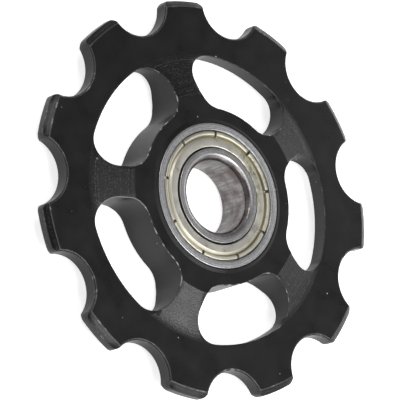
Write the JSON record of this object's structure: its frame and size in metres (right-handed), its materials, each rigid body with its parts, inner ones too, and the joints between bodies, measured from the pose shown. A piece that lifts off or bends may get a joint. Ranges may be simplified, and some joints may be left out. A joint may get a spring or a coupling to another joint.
{
  "type": "bicycle derailleur guide pulley",
  "caption": "Toothed aluminium guide pulley with five windows, turning on a shielded ball bearing, that leads a bicycle chain through a rear derailleur.",
  "frame": {"origin": "centre of the bearing's bore, half way through its width", "axes": "+Z along the axis that the wheel turns about, +X through the middle of a gap between two teeth, beside a spoke"},
  "size_m": [0.0436, 0.044, 0.005],
  "materials": {
    "anodised_aluminium": "black anodised, satin, turned",
    "bearing_steel": "ground",
    "shield_steel": "pressed sheet, pale yellow plated",
    "ball_steel": "polished",
    "cage_nylon": "moulded, matt"
  },
  "bodies": {
    "inner_ring": {"inner_ring": "bearing_steel"},
    "wheel": {"wheel": "anodised_aluminium", "outer_ring": "bearing_steel", "front_shield": "shield_steel", "rear_shield": "shield_steel"},
    "cage": {"ball_cage": "cage_nylon"},
    "ball_1": {"ball_1": "ball_steel"},
    "ball_2": {"ball_2": "ball_steel"},
    "ball_3": {"ball_3": "ball_steel"},
    "ball_4": {"ball_4": "ball_steel"},
    "ball_5": {"ball_5": "ball_steel"},
    "ball_6": {"ball_6": "ball_steel"},
    "ball_7": {"ball_7": "ball_steel"},
    "ball_8": {"ball_8": "ball_steel"},
    "ball_9": {"ball_9": "ball_steel"}
  },
  "joints": [
    {"name": "wheel_spin", "type": "hinge", "parent": "inner_ring", "child": "wheel", "pos_m": [0, 0, 0], "axis": [0, 0, 1], "continuous": true},
    {"name": "cage_spin", "type": "hinge", "parent": "inner_ring", "child": "cage", "pos_m": [0, 0, 0], "axis": [0, 0, 1], "continuous": true},
    {"name": "ball_1_spin", "type": "hinge", "parent": "cage", "child": "ball_1", "pos_m": [0.006, 0, 0], "axis": [0, 0, 1], "continuous": true},
    {"name": "ball_2_spin", "type": "hinge", "parent": "cage", "child": "ball_2", "pos_m": [0.0046, 0.00386, 0], "axis": [0, 0, 1], "continuous": true},
    {"name": "ball_3_spin", "type": "hinge", "parent": "cage", "child": "ball_3", "pos_m": [0.00104, 0.00591, 0], "axis": [0, 0, 1], "continuous": true},
    {"name": "ball_4_spin", "type": "hinge", "parent": "cage", "child": "ball_4", "pos_m": [-0.003, 0.0052, 0], "axis": [0, 0, 1], "continuous": true},
    {"name": "ball_5_spin", "type": "hinge", "parent": "cage", "child": "ball_5", "pos_m": [-0.00564, 0.00205, 0], "axis": [0, 0, 1], "continuous": true},
    {"name": "ball_6_spin", "type": "hinge", "parent": "cage", "child": "ball_6", "pos_m": [-0.00564, -0.00205, 0], "axis": [0, 0, 1], "continuous": true},
    {"name": "ball_7_spin", "type": "hinge", "parent": "cage", "child": "ball_7", "pos_m": [-0.003, -0.0052, 0], "axis": [0, 0, 1], "continuous": true},
    {"name": "ball_8_spin", "type": "hinge", "parent": "cage", "child": "ball_8", "pos_m": [0.00104, -0.00591, 0], "axis": [0, 0, 1], "continuous": true},
    {"name": "ball_9_spin", "type": "hinge", "parent": "cage", "child": "ball_9", "pos_m": [0.0046, -0.00386, 0], "axis": [0, 0, 1], "continuous": true}
  ],
  "couplings": [
    {"joint": "cage_spin", "follows": "wheel_spin", "ratio": 0.59921},
    {"joint": "ball_1_spin", "follows": "wheel_spin", "ratio": 2.4207},
    {"joint": "ball_2_spin", "follows": "wheel_spin", "ratio": 2.4207},
    {"joint": "ball_3_spin", "follows": "wheel_spin", "ratio": 2.4207},
    {"joint": "ball_4_spin", "follows": "wheel_spin", "ratio": 2.4207},
    {"joint": "ball_5_spin", "follows": "wheel_spin", "ratio": 2.4207},
    {"joint": "ball_6_spin", "follows": "wheel_spin", "ratio": 2.4207},
    {"joint": "ball_7_spin", "follows": "wheel_spin", "ratio": 2.4207},
    {"joint": "ball_8_spin", "follows": "wheel_spin", "ratio": 2.4207},
    {"joint": "ball_9_spin", "follows": "wheel_spin", "ratio": 2.4207}
  ]
}
